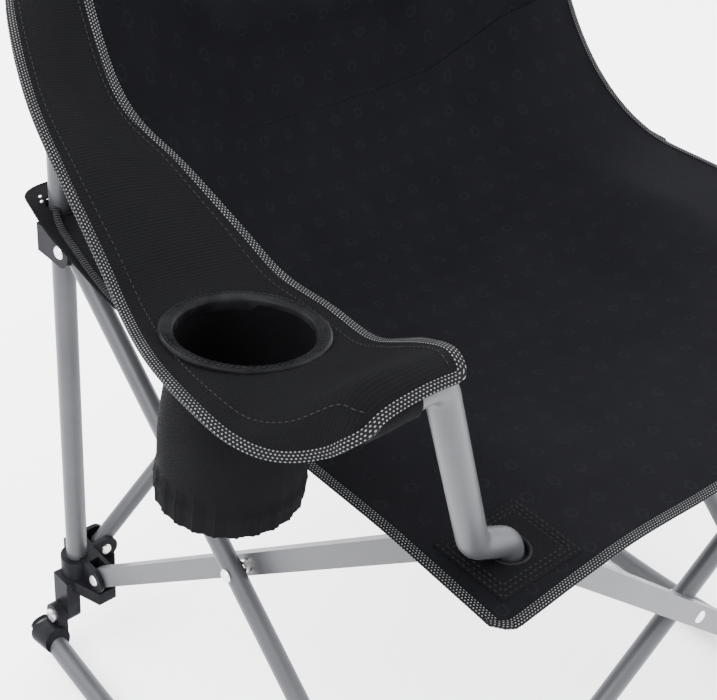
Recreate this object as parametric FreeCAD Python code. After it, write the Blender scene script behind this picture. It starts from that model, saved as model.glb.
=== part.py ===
import FreeCAD, Part
import math
import os

# Folding camp rocking chair: a quad-fold frame, fabric seat, back and arm slings, and two rocker rails.
# Millimetres. +Z is up, the sitter looks along -Y, and the sitter's right is -X.
# The origin is on the floor under the middle of the frame. RIGHT is -1 and LEFT is +1 along X.

RIGHT = -1
LEFT = 1
REAR = 1
FRONT = -1
SIDE_NAMES = {RIGHT: "right", LEFT: "left"}
END_NAMES = {REAR: "rear", FRONT: "front"}

# Frame, corner axis to corner axis and pivot to pivot
frame_span = 480.0
hub_rise = 360.0
rivet_head_clearance = 2.0
foot_pivot_z = 110.0
post_diameter = 19.0
tube_wall = 1.2
post_top_rise = 840.0
brace_diameter = 16.0
flat_bar_height = 18.0
flat_bar_thickness = 9.0
bar_gap = 4.0

# Hubs
hub_radius = 15.0
hub_lobe_radius = 12.5
cheek_thickness = 4.0
slot_start = 17.5
foot_hub_below = 24.0
foot_hub_above = 10.0
foot_base_top = 10.5
upper_hub_below = 14.0
upper_hub_above = 15.0
rivet_diameter = 6.0
rivet_head_diameter = 11.0
rivet_head_height = 1.2

# Rocker rails
rail_radius = 1100.0
rail_side_offset = 34.0
rail_clamp_wall = 3.5
latch_knob_radius = 7.5
latch_knob_clearance = 1.5
rail_pivot_drop = 52.0
rail_rear_end = 12.0
rail_front_end = 70.0
rail_ear_radius = 11.0
rail_clamp_length = 32.0
rail_boss_face = 19.2
rail_boss_thickness = 14.0
rail_cap_length = 9.0

# Seat sheet
sheet_thickness = 2.4
seat_sag = 34.0
seat_side_sag = 7.0
seat_end_sag = 12.0
seat_level_border = 45.0
seat_lip_rise = 55.0
seat_lip_start = 105.0
seat_wing_rise = 96.0
seat_wing_start = 35.0
seat_overhang_front_side = 50.0
seat_overhang_front = 46.0
seat_overhang_rear = 22.0
tab_front_y = 20.0
tab_bulge = 13.0
seat_rear_setback = 28.0
seat_front_curve = 10.0
grommet_tube_clearance = 2.3
grommet_wall = 1.2
grommet_flange = 2.4

# Back panel
back_bottom_rise = 405.0
back_sleeve_bottom_rise = 600.0
back_sleeve_top_rise = 832.0
back_lower_half_width = 226.0
back_bottom_y_setback = 22.0
back_shoulder_height = 10.0
back_bulge = 24.0

# Arms
arm_post_rise = 386.0
arm_knee_out = 34.0
arm_knee_rise = 403.0
arm_top_out = 82.0
arm_top_rise = 540.0
arm_tip_out = 142.0
arm_bend_radius = 17.0
sling_fold_y = 5.0
cup_out = 109.0
cup_y = -122.0
cup_radius = 44.0
cup_depth = 103.0
cup_wall = 2.0
cup_rim_overlap = 3.0
cup_rim_seat = 1.0

# Clearances
press_clearance = 0.05
slide_clearance = 0.4
soft_clearance = 0.3
slot_clearance = 0.5

# Derived sizes
half_span = frame_span / 2
post_radius = post_diameter / 2
upper_pivot_z = foot_pivot_z + hub_rise
grommet_bore_radius = post_radius + grommet_tube_clearance
inner_fork_reach = bar_gap / 2 + brace_diameter + slot_clearance + cheek_thickness
pivot_offset = inner_fork_reach + rivet_head_diameter / 2 + rivet_head_clearance
rail_drop = rail_pivot_drop + post_radius + rail_clamp_wall + latch_knob_radius + latch_knob_clearance
bar_run = frame_span - 2 * pivot_offset
bar_length = math.hypot(bar_run, hub_rise)
bar_angle = math.atan2(hub_rise, bar_run)
seat_corner_z = upper_pivot_z + upper_hub_above + soft_clearance + sheet_thickness / 2
sleeve_inner_radius = post_radius + soft_clearance
sleeve_outer_radius = sleeve_inner_radius + sheet_thickness
seat_rear_y = half_span - seat_rear_setback
seat_front_y = -half_span - seat_overhang_front
rail_end_z = foot_pivot_z - rail_drop
rail_pivot_z = foot_pivot_z - rail_pivot_drop
rail_lowest_z = rail_end_z - (rail_radius - math.sqrt(rail_radius**2 - half_span**2))

# Each face of the frame has an outside bar and an inside bar, riveted at their middles.
# name: (face, outside or inside, round or flat, lower end, upper end), ends along the face
BARS = {
    "side_round_tube_right": ("side", RIGHT, "outside", "round", FRONT, REAR),
    "side_flat_bar_right": ("side", RIGHT, "inside", "flat", REAR, FRONT),
    "side_flat_bar_left": ("side", LEFT, "outside", "flat", REAR, FRONT),
    "side_round_tube_left": ("side", LEFT, "inside", "round", FRONT, REAR),
    "front_flat_bar": ("end", FRONT, "outside", "flat", LEFT, RIGHT),
    "front_round_tube": ("end", FRONT, "inside", "round", RIGHT, LEFT),
    "back_round_tube": ("end", REAR, "outside", "round", RIGHT, LEFT),
    "back_flat_bar": ("end", REAR, "inside", "flat", LEFT, RIGHT),
}


def vec(x, y, z):
    return FreeCAD.Vector(x, y, z)


def box(low, high):
    """Box between two corner points given as tuples."""
    size = [high[i] - low[i] for i in range(3)]
    return Part.makeBox(size[0], size[1], size[2], vec(*low))


def rod(start, end, radius):
    """Solid cylinder between two points."""
    axis = end - start
    return Part.makeCylinder(radius, axis.Length, start, axis)


def tube(start, end, outer_radius, inner_radius):
    """Round tube between two points."""
    return rod(start, end, outer_radius).cut(rod(start, end, inner_radius))


def fused(shapes):
    """One solid from overlapping shapes."""
    result = shapes[0].multiFuse(shapes[1:])
    return result.removeSplitter()


def bar_thickness(section):
    return brace_diameter if section == "round" else flat_bar_thickness


def bar_offset(face_side, layer, section):
    """Signed distance from the corner plane to the bar's middle, across the face."""
    distance = bar_gap / 2 + bar_thickness(section) / 2
    outward = face_side if layer == "outside" else -face_side
    return outward * distance


def face_point(face, face_side, along, across, z):
    """A point on a frame face: along it, across it from the corner plane, and up."""
    plane = face_side * half_span
    if face == "side":
        return vec(plane + across, along, z)
    return vec(along, plane + across, z)


def bar_ends(name):
    """The two pivot points on a bar's own middle plane, lower end first."""
    face, face_side, layer, section, low_end, high_end = BARS[name]
    across = bar_offset(face_side, layer, section)
    reach = half_span - pivot_offset
    low = face_point(face, face_side, low_end * reach, across, foot_pivot_z)
    high = face_point(face, face_side, high_end * reach, across, upper_pivot_z)
    return low, high


def face_normal(face):
    return vec(1, 0, 0) if face == "side" else vec(0, 1, 0)


def make_bar(name):
    """A round tube or flat-oval bar with rounded ends and three rivet holes."""
    face, face_side, layer, section, low_end, high_end = BARS[name]
    low, high = bar_ends(name)
    normal = face_normal(face)
    thickness = bar_thickness(section)
    if section == "round":
        radius = brace_diameter / 2
        outer = fused([rod(low, high, radius), Part.makeSphere(radius, low), Part.makeSphere(radius, high)])
        hollow = rod(low + (high - low) * 0.05, high - (high - low) * 0.05, radius - tube_wall)
        body = outer.cut(hollow)
    else:
        body = flat_bar(low, high, normal)
    for centre in (low, (low + high) * 0.5, high):
        reach = normal * thickness
        body = body.cut(rod(centre - reach, centre + reach, rivet_diameter / 2 + press_clearance))
    return body


def flat_bar(low, high, normal):
    """Flat-oval bar: a straight slab with half-round ends and edges."""
    half = flat_bar_height / 2
    shift = normal * (flat_bar_thickness / 2)
    up = (high - low).cross(normal)
    up.normalize()
    corners = [low + up * half - shift, high + up * half - shift, high - up * half - shift, low - up * half - shift]
    slab = Part.Face(Part.makePolygon(corners + [corners[0]])).extrude(shift * 2)
    ends = [rod(point - shift, point + shift, half) for point in (low, high)]
    return fused([slab] + ends)


def bars_at(side, end, level):
    """The bars that meet at a corner, as (name, face) pairs. level is 'foot' or 'upper'."""
    found = []
    for name, (face, face_side, layer, section, low_end, high_end) in BARS.items():
        bar_end = low_end if level == "foot" else high_end
        if face == "side" and (face_side, bar_end) == (side, end):
            found.append(name)
        if face == "end" and (face_side, bar_end) == (end, side):
            found.append(name)
    return found


def lobe(side, end, name, z):
    """A fork on a hub that holds one bar's end, and the slot to cut from it."""
    face, face_side, layer, section, low_end, high_end = BARS[name]
    across = bar_offset(face_side, layer, section)
    half_slot = bar_thickness(section) / 2 + slot_clearance
    half_block = half_slot + cheek_thickness
    inward = -end if face == "side" else -side
    corner_along = end * half_span if face == "side" else side * half_span
    normal = face_normal(face)
    pivot = face_point(face, face_side, corner_along + inward * pivot_offset, across, z)
    root = face_point(face, face_side, corner_along, across, z)
    direction = pivot - root
    direction.normalize()
    lift = vec(0, 0, hub_lobe_radius)
    cheek = normal * half_block
    corners = [root - cheek - lift, pivot - cheek - lift, pivot - cheek + lift, root - cheek + lift]
    block = Part.Face(Part.makePolygon(corners + [corners[0]])).extrude(cheek * 2)
    nose = rod(pivot - cheek, pivot + cheek, hub_lobe_radius)
    gap = normal * half_slot
    slot_low = root + direction * slot_start - gap - lift * 2
    slot_high = root + direction * slot_start - gap + lift * 2
    slot_reach = direction * (pivot_offset + hub_lobe_radius)
    slot_corners = [slot_low, slot_low + slot_reach, slot_high + slot_reach, slot_high]
    slot = Part.Face(Part.makePolygon(slot_corners + [slot_corners[0]])).extrude(gap * 2)
    hole = rod(pivot - cheek * 1.5, pivot + cheek * 1.5, rivet_diameter / 2 + press_clearance)
    return fused([block, nose]), [slot, hole]


def rail_boss(side, end):
    """The lug under a foot hub that the rail's ear is bolted or pinned to."""
    x = side * half_span
    y = end * half_span
    face_x = x + side * rail_boss_face
    top = foot_pivot_z - foot_base_top
    inner_x = face_x - side * rail_boss_thickness
    low_x, high_x = sorted((inner_x, face_x))
    block = box((low_x, y - rail_ear_radius, rail_pivot_z), (high_x, y + rail_ear_radius, top))
    round_end = rod(vec(low_x, y, rail_pivot_z), vec(high_x, y, rail_pivot_z), rail_ear_radius)
    return fused([block, round_end])


def foot_hub(side, end):
    """Moulded foot hub: a barrel, two forks on a base, a rail boss and, at the rear, a post socket."""
    x = side * half_span
    y = end * half_span
    z = foot_pivot_z
    barrel = rod(vec(x, y, z - foot_hub_below), vec(x, y, z + foot_hub_above), hub_radius)
    solids = [barrel]
    cuts = []
    for name in bars_at(side, end, "foot"):
        block, removed = lobe(side, end, name, z)
        solids.append(block)
        cuts.extend(removed)
    if end == REAR:
        cuts.append(rod(vec(x, y, z - 12), vec(x, y, z + foot_hub_above + 5), post_radius + press_clearance))
    forks = fused(solids).cut(Part.makeCompound(cuts))
    hub = fused([forks, hub_base(side, end), rail_boss(side, end)])
    if end == REAR:
        bolt_start = vec(x + side * (rail_boss_face + 1), y, rail_pivot_z)
        hub = hub.cut(rod(bolt_start, vec(x, y, rail_pivot_z), rivet_diameter / 2 + press_clearance))
    return hub


def convex_outline(points):
    """Corner points of the convex outline round some (x, y) points, in order."""
    ordered = sorted(set(points))

    def chain(sequence):
        kept = []
        for point in sequence:
            while len(kept) > 1 and turn(kept[-2], kept[-1], point) <= 1e-9:
                kept.pop()
            kept.append(point)
        return kept[:-1]

    def turn(a, b, c):
        return (b[0] - a[0]) * (c[1] - a[1]) - (b[1] - a[1]) * (c[0] - a[0])

    return chain(ordered) + chain(reversed(ordered))


def hub_base(side, end):
    """Solid foot of a foot hub that joins its barrel and two forks under the bars."""
    x = side * half_span
    y = end * half_span
    points = []
    for step in range(12):
        angle = math.pi * step / 6
        points.append((round(x + hub_radius * math.cos(angle), 4), round(y + hub_radius * math.sin(angle), 4)))
    for name in bars_at(side, end, "foot"):
        face, face_side, layer, section, low_end, high_end = BARS[name]
        across = bar_offset(face_side, layer, section)
        half_block = bar_thickness(section) / 2 + slot_clearance + cheek_thickness
        reach = pivot_offset + hub_lobe_radius - 3
        for offset in (across - half_block, across + half_block):
            if face == "side":
                points.append((round(x + offset, 4), round(y - end * reach, 4)))
            else:
                points.append((round(x - side * reach, 4), round(y + offset, 4)))
    low = foot_pivot_z - foot_hub_below
    loop = [vec(px, py, low) for px, py in convex_outline(points)]
    height = vec(0, 0, foot_hub_below - foot_base_top)
    return Part.Face(Part.makePolygon(loop + [loop[0]])).extrude(height)


def upper_hub(side, end):
    """Moulded upper hub with two forks. The rear one slides on its post, the front one holds the arm tube."""
    x = side * half_span
    y = end * half_span
    z = upper_pivot_z
    barrel = rod(vec(x, y, z - upper_hub_below), vec(x, y, z + upper_hub_above), hub_radius)
    flange = rod(vec(x, y, z + upper_hub_above - 2.5), vec(x, y, z + upper_hub_above), hub_radius + 5)
    solids = [barrel, flange]
    cuts = []
    for name in bars_at(side, end, "upper"):
        block, removed = lobe(side, end, name, z)
        solids.append(block)
        cuts.extend(removed)
    if end == REAR:
        bore = rod(vec(x, y, z - 40), vec(x, y, z + 40), post_radius + slide_clearance)
    else:
        bore = rod(vec(x, y, z - 12), vec(x, y, z + 40), post_radius + press_clearance)
    cuts.append(bore)
    return fused(solids).cut(Part.makeCompound(cuts))


def rivet(start, end):
    """Rivet with a domed head at each end of its shank."""
    axis = end - start
    axis.normalize()
    head = axis * rivet_head_height
    shank = rod(start - head * 0.5, end + head * 0.5, rivet_diameter / 2)
    first = Part.makeCone(rivet_head_diameter / 2 - 1, rivet_head_diameter / 2, rivet_head_height, start - head, axis)
    last = Part.makeCone(rivet_head_diameter / 2, rivet_head_diameter / 2 - 1, rivet_head_height, end, axis)
    return fused([shank, first, last])


def hub_rivets(side, end, level):
    """The two rivets that pin a corner's bars into its hub's forks."""
    z = foot_pivot_z if level == "foot" else upper_pivot_z
    rivets = []
    for name in bars_at(side, end, level):
        face, face_side, layer, section, low_end, high_end = BARS[name]
        across = bar_offset(face_side, layer, section)
        half = bar_thickness(section) / 2 + slot_clearance + cheek_thickness
        corner_along = end * half_span if face == "side" else side * half_span
        inward = -end if face == "side" else -side
        pivot = face_point(face, face_side, corner_along + inward * pivot_offset, across, z)
        reach = face_normal(face) * half
        rivets.append(rivet(pivot - reach, pivot + reach))
    return Part.makeCompound(rivets)


def cross_rivet(outside_name, inside_name):
    """Shouldered rivet where the two bars of a face cross."""
    face, face_side, layer, section, low_end, high_end = BARS[outside_name]
    outward = face_normal(face) * face_side
    centre = face_point(face, face_side, 0, 0, (foot_pivot_z + upper_pivot_z) / 2)
    outer = centre + outward * (bar_gap / 2 + bar_thickness(section))
    inner = centre - outward * (bar_gap / 2 + bar_thickness(BARS[inside_name][3]))
    shoulder_reach = outward * (bar_gap / 2 - press_clearance)
    shoulder = rod(centre - shoulder_reach, centre + shoulder_reach, rivet_head_diameter / 2)
    return fused([rivet(inner, outer), shoulder])


def rear_post(side):
    """Round post from the foot hub's socket to the top of the back."""
    x = side * half_span
    low = vec(x, half_span, foot_pivot_z - foot_base_top + press_clearance)
    high = vec(x, half_span, foot_pivot_z + post_top_rise)
    return tube(low, high, post_radius, post_radius - tube_wall)


def post_cap(side):
    """Plastic cap on a post's top with a plug inside the tube."""
    base = vec(side * half_span, half_span, foot_pivot_z + post_top_rise)
    plug = rod(base - vec(0, 0, 14), base, post_radius - tube_wall - press_clearance)
    crown = rod(base, base + vec(0, 0, 7), post_radius + 1.5)
    dome = Part.makeCone(post_radius + 1.5, post_radius - 2, 4, base + vec(0, 0, 7))
    return fused([plug, crown, dome])


def arm_path(side):
    """Centreline points of an arm tube, from its hub socket to its tip."""
    x = side * half_span
    y = -half_span
    base = foot_pivot_z
    return [
        vec(x, y, upper_pivot_z - 12),
        vec(x, y, base + arm_post_rise),
        vec(x + side * arm_knee_out, y, base + arm_knee_rise),
        vec(x + side * arm_top_out, y, base + arm_top_rise),
        vec(x + side * arm_tip_out, y, base + arm_top_rise),
    ]


def rounded_wire(points, radius):
    """Wire through the points with an arc of that radius, or less on short legs, at each corner."""
    edges = []
    current = points[0]
    for index in range(1, len(points) - 1):
        corner = points[index]
        before = corner - points[index - 1]
        after = points[index + 1] - corner
        turn = before.getAngle(after)
        reach = min(radius * math.tan(turn / 2), before.Length * 0.45, after.Length * 0.45)
        before.normalize()
        after.normalize()
        start = corner - before * reach
        end = corner + after * reach
        bisector = after - before
        bisector.normalize()
        arc_radius = reach / math.tan(turn / 2)
        centre = corner + bisector * math.hypot(arc_radius, reach)
        middle = centre - bisector * arc_radius
        edges.append(Part.makeLine(current, start))
        edges.append(Part.Arc(start, middle, end).toShape())
        current = end
    edges.append(Part.makeLine(current, points[-1]))
    return Part.Wire(edges)


def swept(wire, radius):
    """Solid of a round section swept along a wire."""
    start = wire.Edges[0].valueAt(wire.Edges[0].FirstParameter)
    direction = wire.Edges[0].tangentAt(wire.Edges[0].FirstParameter)
    section = Part.Wire(Part.makeCircle(radius, start, direction))
    return wire.makePipeShell([section], True, True)


def arm_tube(side):
    """S-bent tube that rises from the front upper hub and carries the arm sling's nose."""
    wire = rounded_wire(arm_path(side), arm_bend_radius)
    return swept(wire, post_radius).cut(swept(wire, post_radius - tube_wall))


def rail_wire(side, extra=0.0):
    """Arc of a rocker rail's centreline, lowest under the middle of the frame."""
    x = side * (half_span + rail_side_offset)
    centre_z = rail_lowest_z + rail_radius
    stations = [half_span + rail_rear_end + extra, 0.0, -half_span - rail_front_end - extra]
    points = [vec(x, y, centre_z - math.sqrt(rail_radius**2 - y**2)) for y in stations]
    return Part.Wire([Part.Arc(*points).toShape()])


def rocker_rail(side):
    """Curved tube that the chair stands and rocks on."""
    wire = rail_wire(side)
    return swept(wire, post_radius).cut(swept(wire, post_radius - tube_wall))


def rail_caps(side):
    """Plugs at a rail's two ends."""
    arc = rail_wire(side).Edges[0]
    plugs = []
    for parameter, outward in ((arc.FirstParameter, -1), (arc.LastParameter, 1)):
        tip = arc.valueAt(parameter)
        away = arc.tangentAt(parameter) * outward
        plug = rod(tip - away * rail_cap_length, tip, post_radius - tube_wall - press_clearance)
        disc = rod(tip, tip + away * 4, post_radius)
        plugs.append(fused([plug, disc]))
    return Part.makeCompound(plugs)


def rail_clamp(side, end):
    """Moulded clamp round a rail with an ear that meets the foot hub's boss."""
    x = side * (half_span + rail_side_offset)
    y = end * half_span
    ear_face = side * (half_span + rail_boss_face + soft_clearance)
    ear_back = side * (half_span + rail_boss_face + soft_clearance + 9)
    low_x, high_x = sorted((ear_face, ear_back))
    ear_box = box((low_x, y - rail_ear_radius, rail_end_z), (high_x, y + rail_ear_radius, rail_pivot_z))
    ear_top = rod(vec(low_x, y, rail_pivot_z), vec(high_x, y, rail_pivot_z), rail_ear_radius)
    slope = vec(0, 1, -y / rail_radius)
    slope.normalize()
    middle = vec(x, y, rail_end_z)
    half = rail_clamp_length / 2
    sleeve_start = middle - slope * half
    sleeve_end = middle + slope * half
    if end == REAR:
        sleeve_end = middle + slope * (rail_rear_end - 2)
    sleeve = rod(sleeve_start, sleeve_end, post_radius + rail_clamp_wall)
    body = fused([sleeve, ear_box, ear_top])
    body = body.cut(swept(rail_wire(side, 8.0), post_radius + press_clearance))
    hole = rod(vec(low_x - 5, y, rail_pivot_z), vec(high_x + 5, y, rail_pivot_z), rivet_diameter / 2 + press_clearance)
    return body.cut(hole)


def rail_pivot_bolt(side):
    """Bolt that the rail swings on, from the ear into the rear foot hub."""
    y = half_span
    outer = side * (half_span + rail_boss_face + soft_clearance + 9)
    inner = side * (half_span + rail_boss_face - rail_boss_thickness)
    shank = rod(vec(outer, y, rail_pivot_z), vec(inner, y, rail_pivot_z), rivet_diameter / 2)
    head = rod(vec(outer, y, rail_pivot_z), vec(outer + side * 3, y, rail_pivot_z), 6.5)
    return fused([shank, head])


def rail_latch_pin(side):
    """Spring pin in the front ear that latches the rail to the front foot hub."""
    y = -half_span
    outer = side * (half_span + rail_boss_face + soft_clearance + 9)
    inner = side * (half_span + rail_boss_face + soft_clearance)
    shank = rod(vec(outer, y, rail_pivot_z), vec(inner, y, rail_pivot_z), rivet_diameter / 2)
    knob = rod(vec(outer, y, rail_pivot_z), vec(outer + side * 8, y, rail_pivot_z), latch_knob_radius)
    return fused([shank, knob])


def sheet_from_heights(xs, ys, height, thickness):
    """Thin sheet over a grid, height(x, y) being its upper face."""
    grid = [[vec(x, y, height(x, y)) for y in ys] for x in xs]
    surface = Part.BSplineSurface()
    surface.interpolate(grid)
    return surface.toShape().extrude(vec(0, 0, -thickness))


def smooth_step(value):
    """0 below 0, 1 above 1 and smooth between."""
    t = max(0.0, min(1.0, value))
    return t * t * (3 - 2 * t)


def seat_height(x, y):
    """Upper face of the seat: level round its corners, sagging to the middle and swept up at the rear."""
    level = half_span - seat_level_border
    u = min(1.0, abs(x) / level)
    v = min(1.0, abs(y) / level)
    middle_x = (1 - u**3) ** 2
    middle_y = (1 - v**3) ** 2
    sag = seat_sag * middle_x * middle_y
    sag += seat_side_sag * (1 - middle_x) * middle_y
    sag += seat_end_sag * middle_x * (1 - middle_y)
    lip = seat_lip_rise * smooth_step((y - seat_lip_start) / (seat_rear_y - seat_lip_start))
    wing = seat_wing_rise * max(0.0, (y - seat_wing_start) / (seat_rear_y - seat_wing_start)) ** 1.8
    at_side = smooth_step((abs(x) - 100) / (half_span - 100))
    return seat_corner_z + sheet_thickness / 2 - sag + lip * (1 - at_side) + wing * at_side


def seat_outline():
    """Seat outline corners, from the fold line round the rear, then round the front."""
    side_front = half_span + seat_overhang_front_side
    side_rear = half_span + seat_overhang_rear
    side_middle = (side_front + side_rear) / 2
    rear = [
        (-side_middle, 0), (-side_rear, seat_rear_y - 12), (12 - side_rear, seat_rear_y),
        (side_rear - 12, seat_rear_y), (side_rear, seat_rear_y - 12), (side_middle, 0),
    ]
    front = [
        (side_middle, 0), (side_front, -half_span), (side_front - 14, seat_front_y),
        (half_span - 30, seat_front_y + 2), (0, seat_front_y + seat_front_curve), (30 - half_span, seat_front_y + 2),
        (14 - side_front, seat_front_y), (-side_front, -half_span), (-side_middle, 0),
    ]
    return rear, front


def seat_tab(side):
    """Level corner tab that ties the seat's rear to a rear post."""
    outer = half_span + seat_overhang_rear
    inner = half_span - seat_overhang_rear
    outline = [
        (inner, tab_front_y), (outer + tab_bulge, tab_front_y), (outer + tab_bulge, half_span / 2),
        (outer + tab_bulge / 2, half_span * 0.75), (outer, half_span), (outer - 3, half_span + 18),
        (outer - 14, half_span + 26), (inner + 4, half_span + 26), (inner - 8, half_span),
    ]
    low = seat_corner_z - sheet_thickness / 2
    loop = [vec(side * x, y, low) for x, y in outline]
    return Part.Face(Part.makePolygon(loop + [loop[0]])).extrude(vec(0, 0, sheet_thickness))


def corner_holes(radius, end):
    """Cylinders through the seat at its two rear or two front corners."""
    low = seat_corner_z - 20
    return [rod(vec(side * half_span, end * half_span, low), vec(side * half_span, end * half_span, low + 40), radius)
            for side in (RIGHT, LEFT)]


def seat_half(end):
    """The seat sheet behind or in front of its fold line."""
    outline = seat_outline()[0 if end == REAR else 1]
    xs = [-320 + 20 * i for i in range(33)]
    ys = [20 * i for i in range(-16, 17)]
    sheet = sheet_from_heights(xs, ys, seat_height, sheet_thickness)
    loop = [vec(x, y + end * soft_clearance / 2, 0) for x, y in outline]
    prism = Part.Face(Part.makePolygon(loop + [loop[0]])).extrude(vec(0, 0, 2000))
    sheet = sheet.common(prism)
    if end == REAR:
        sheet = fused([sheet, seat_tab(RIGHT), seat_tab(LEFT)])
    holes = corner_holes(grommet_bore_radius + grommet_wall + soft_clearance, end)
    return sheet.cut(Part.makeCompound(holes))


def seat_grommet(side, end):
    """Eyelet in a seat corner that the post or arm tube passes through."""
    base = vec(side * half_span, end * half_span, seat_corner_z)
    low = base - vec(0, 0, sheet_thickness / 2)
    high = base + vec(0, 0, sheet_thickness / 2 + soft_clearance)
    collar = rod(low, high, grommet_bore_radius + grommet_wall)
    rim = rod(high, high + vec(0, 0, 1.6), grommet_bore_radius + grommet_flange)
    bore = rod(low - vec(0, 0, 2), high + vec(0, 0, 4), grommet_bore_radius)
    return fused([collar, rim]).cut(bore)


def back_y(x, z):
    """Front face of the back panel: ahead of the bars below, on the post line above, bowed rearward."""
    low = foot_pivot_z + back_bottom_rise
    sleeve = foot_pivot_z + back_sleeve_bottom_rise
    top = foot_pivot_z + back_sleeve_top_rise
    share = max(0.0, min(1.0, (z - low) / (sleeve - low)))
    base = half_span - back_bottom_y_setback * (1 - share) - sheet_thickness / 2
    height_share = max(0.0, min(1.0, (z - low) / (top - low)))
    bow = back_bulge * math.sin(math.pi * height_share) * (1 - (x / half_span) ** 2)
    return base + max(0.0, bow)


def back_panel():
    """Back sheet with a sleeve round each rear post."""
    low = foot_pivot_z + back_bottom_rise
    sleeve = foot_pivot_z + back_sleeve_bottom_rise
    top = foot_pivot_z + back_sleeve_top_rise
    xs = [-half_span + half_span / 6 * i for i in range(13)]
    zs = [low + (top - low) / 12 * i for i in range(13)]
    grid = [[vec(x, back_y(x, z), z) for z in zs] for x in xs]
    surface = Part.BSplineSurface()
    surface.interpolate(grid)
    sheet = surface.toShape().extrude(vec(0, sheet_thickness, 0))
    lower = back_lower_half_width
    shoulder = sleeve - back_shoulder_height
    loop = [vec(-lower, 0, low), vec(-lower, 0, shoulder), vec(-half_span, 0, sleeve), vec(-half_span, 0, top),
            vec(half_span, 0, top), vec(half_span, 0, sleeve), vec(lower, 0, shoulder), vec(lower, 0, low)]
    prism = Part.Face(Part.makePolygon(loop + [loop[0]])).extrude(vec(0, 600, 0))
    sheet = sheet.common(prism)
    sleeves = []
    bores = []
    for side in (RIGHT, LEFT):
        x = side * half_span
        sleeves.append(rod(vec(x, half_span, sleeve), vec(x, half_span, top), sleeve_outer_radius))
        bores.append(rod(vec(x, half_span, low), vec(x, half_span, top + 5), sleeve_inner_radius))
    return fused([sheet] + sleeves).cut(Part.makeCompound(bores))


def sling_sections(side):
    """Cross-sections of an arm sling, rear to front, as (inner point, outer point)."""
    rows = [
        (14.5, 226, 700, 17.0, 226, 638),
        (38, 150, 636, 84, 152, 612),
        (62, 60, 569, 131, 60, 582),
        (58, sling_fold_y, 546, 144, sling_fold_y, 558),
        (51, -60, 520, 153, -60, 529),
        (50, -100, 507, 161, -100, 510),
        (56, -145, 508, 167, -145, 508),
        (70, -196, 529, 164, -196, 512),
        (79, -232, 550, 148, -232, 548),
    ]
    sections = []
    for inner_out, inner_y, inner_rise, outer_out, outer_y, outer_rise in rows:
        inner = vec(side * (half_span + inner_out), inner_y, foot_pivot_z + inner_rise)
        outer = vec(side * (half_span + outer_out), outer_y, foot_pivot_z + outer_rise)
        sections.append((inner, outer))
    return sections


def sling_loft(sections):
    """One sheet through straight cross-sections, thickened to the underside."""
    wires = []
    last = len(sections) - 1
    for index, (inner, outer) in enumerate(sections):
        before = sections[max(index - 1, 0)]
        after = sections[min(index + 1, last)]
        along = (after[0] + after[1]) - (before[0] + before[1])
        normal = along.cross(outer - inner)
        normal.normalize()
        if normal.z > 0:
            normal = normal * -1
        drop = normal * sheet_thickness
        wires.append(Part.makePolygon([inner, outer, outer + drop, inner + drop, inner]))
    return Part.makeLoft(wires, True, True)


def arm_sling_rear(side):
    """Rear half of an arm sling, from the back's sleeve to the fold line."""
    sections = sling_sections(side)[:4]
    return sling_loft(sections)


def arm_sling_front(side):
    """Front half of an arm sling with the hem round the arm tube's tip."""
    sections = sling_sections(side)[3:]
    inner, outer = sections[0]
    shift = vec(0, -soft_clearance, 0)
    sections[0] = (inner + shift, outer + shift)
    x = side * half_span
    z = foot_pivot_z + arm_top_rise
    near = vec(x + side * (arm_top_out + 20), -half_span, z)
    far = vec(x + side * arm_tip_out, -half_span, z)
    hem = rod(near, far, sleeve_outer_radius)
    body = fused([sling_loft(sections), hem])
    body = body.cut(swept(rounded_wire(arm_path(side), arm_bend_radius), sleeve_inner_radius))
    body = body.cut(rod(far - vec(side * 30, 0, 0), far + vec(side * 9, 0, 0), sleeve_inner_radius))
    if side == RIGHT:
        body = body.cut(cup_cylinder(cup_radius + soft_clearance, 60, 60))
        body = body.cut(cup_cylinder(cup_radius + cup_rim_overlap + soft_clearance, -cup_rim_seat, 60))
    return body


def cup_cylinder(radius, below, above):
    """Upright cylinder on the cup holder's axis, measured from its rim."""
    rim = cup_rim_centre()
    return rod(rim - vec(0, 0, below), rim + vec(0, 0, above), radius)


def cup_rim_centre():
    """Centre of the cup holder's rim, on the right arm sling."""
    return vec(-half_span - cup_out, cup_y, foot_pivot_z + 508)


def cup_pocket():
    """Soft open-topped pocket that hangs in the right arm sling."""
    outer = cup_cylinder(cup_radius, cup_depth, 1.0)
    inner = cup_cylinder(cup_radius - cup_wall, cup_depth - cup_wall, 3.0)
    return outer.cut(inner)


def cup_rim():
    """Rim tape round the pocket's mouth."""
    outer = cup_cylinder(cup_radius + cup_rim_overlap, -cup_rim_seat - soft_clearance, cup_rim_seat + 3.5)
    inner = cup_cylinder(cup_radius - cup_wall, 0, cup_rim_seat + 6)
    return outer.cut(inner)


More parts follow.
